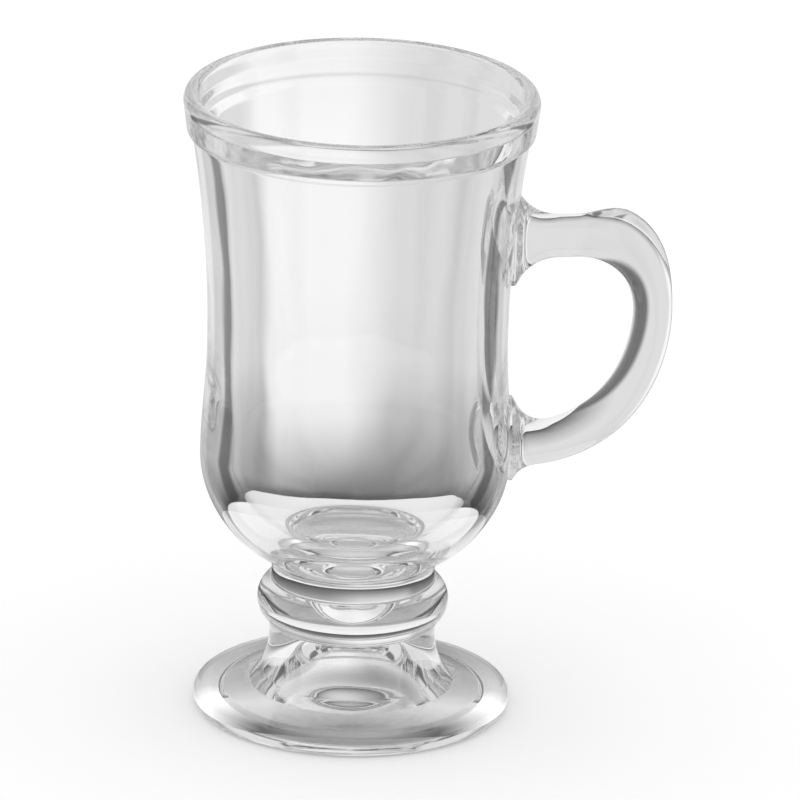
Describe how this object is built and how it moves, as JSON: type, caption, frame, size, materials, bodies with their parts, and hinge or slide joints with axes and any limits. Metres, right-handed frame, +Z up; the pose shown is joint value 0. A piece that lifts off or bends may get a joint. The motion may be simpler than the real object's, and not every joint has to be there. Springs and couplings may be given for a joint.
{
  "type": "irish coffee mug",
  "caption": "Footed clear glass mug for hot drinks: waisted bowl with a banded lip, rounded knop, flared stem, round foot and a loop handle for the fingers.",
  "frame": {"origin": "on the bowl's axis, in the plane that the foot's resting ring stands on", "axes": "+Z up along the bowl's axis, +X from the axis towards the handle, +Y across the handle's plane"},
  "size_m": [0.1083, 0.078, 0.1425],
  "materials": {
    "clear_glass": "clear pressed and fire-polished soda-lime glass"
  },
  "bodies": {
    "root": {"bowl": "clear_glass", "handle": "clear_glass", "knop": "clear_glass", "stem": "clear_glass", "foot": "clear_glass"}
  },
  "joints": []
}
